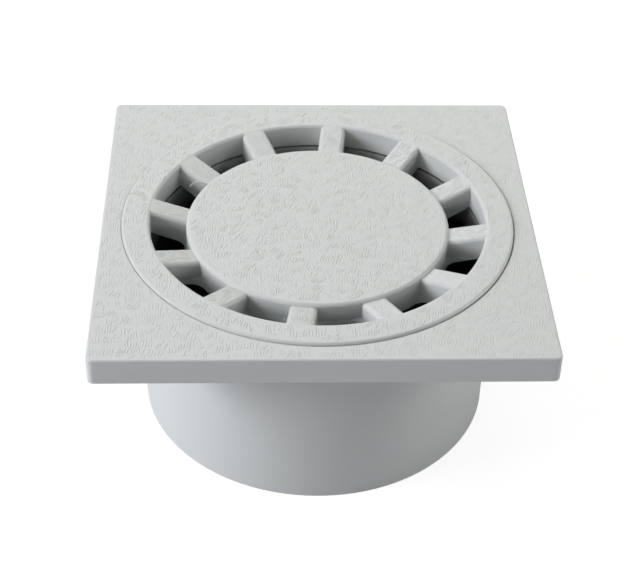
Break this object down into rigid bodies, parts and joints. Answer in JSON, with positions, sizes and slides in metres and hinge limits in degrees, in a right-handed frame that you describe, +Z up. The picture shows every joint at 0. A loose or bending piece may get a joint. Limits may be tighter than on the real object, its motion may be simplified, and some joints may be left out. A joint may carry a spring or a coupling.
{
  "type": "floor gully trap",
  "caption": "Square floor gully trap: a flush plate with a round slotted grate over a well whose wall is the spigot, with a bell trap hidden inside.",
  "frame": {"origin": "centre of the spigot's lower rim, the lowest point of the part", "axes": "+Z up, from the spigot's rim to the plate's top face; X and Y along the plate's sides"},
  "size_m": [0.1, 0.1, 0.0494],
  "materials": {
    "grey_plastic": "light-grey moulding, finely textured on its upper faces and smooth elsewhere",
    "black_plastic": "plain black moulding, smooth"
  },
  "bodies": {
    "root": {"body": "grey_plastic", "grate": "grey_plastic", "bell": "black_plastic"}
  },
  "joints": []
}
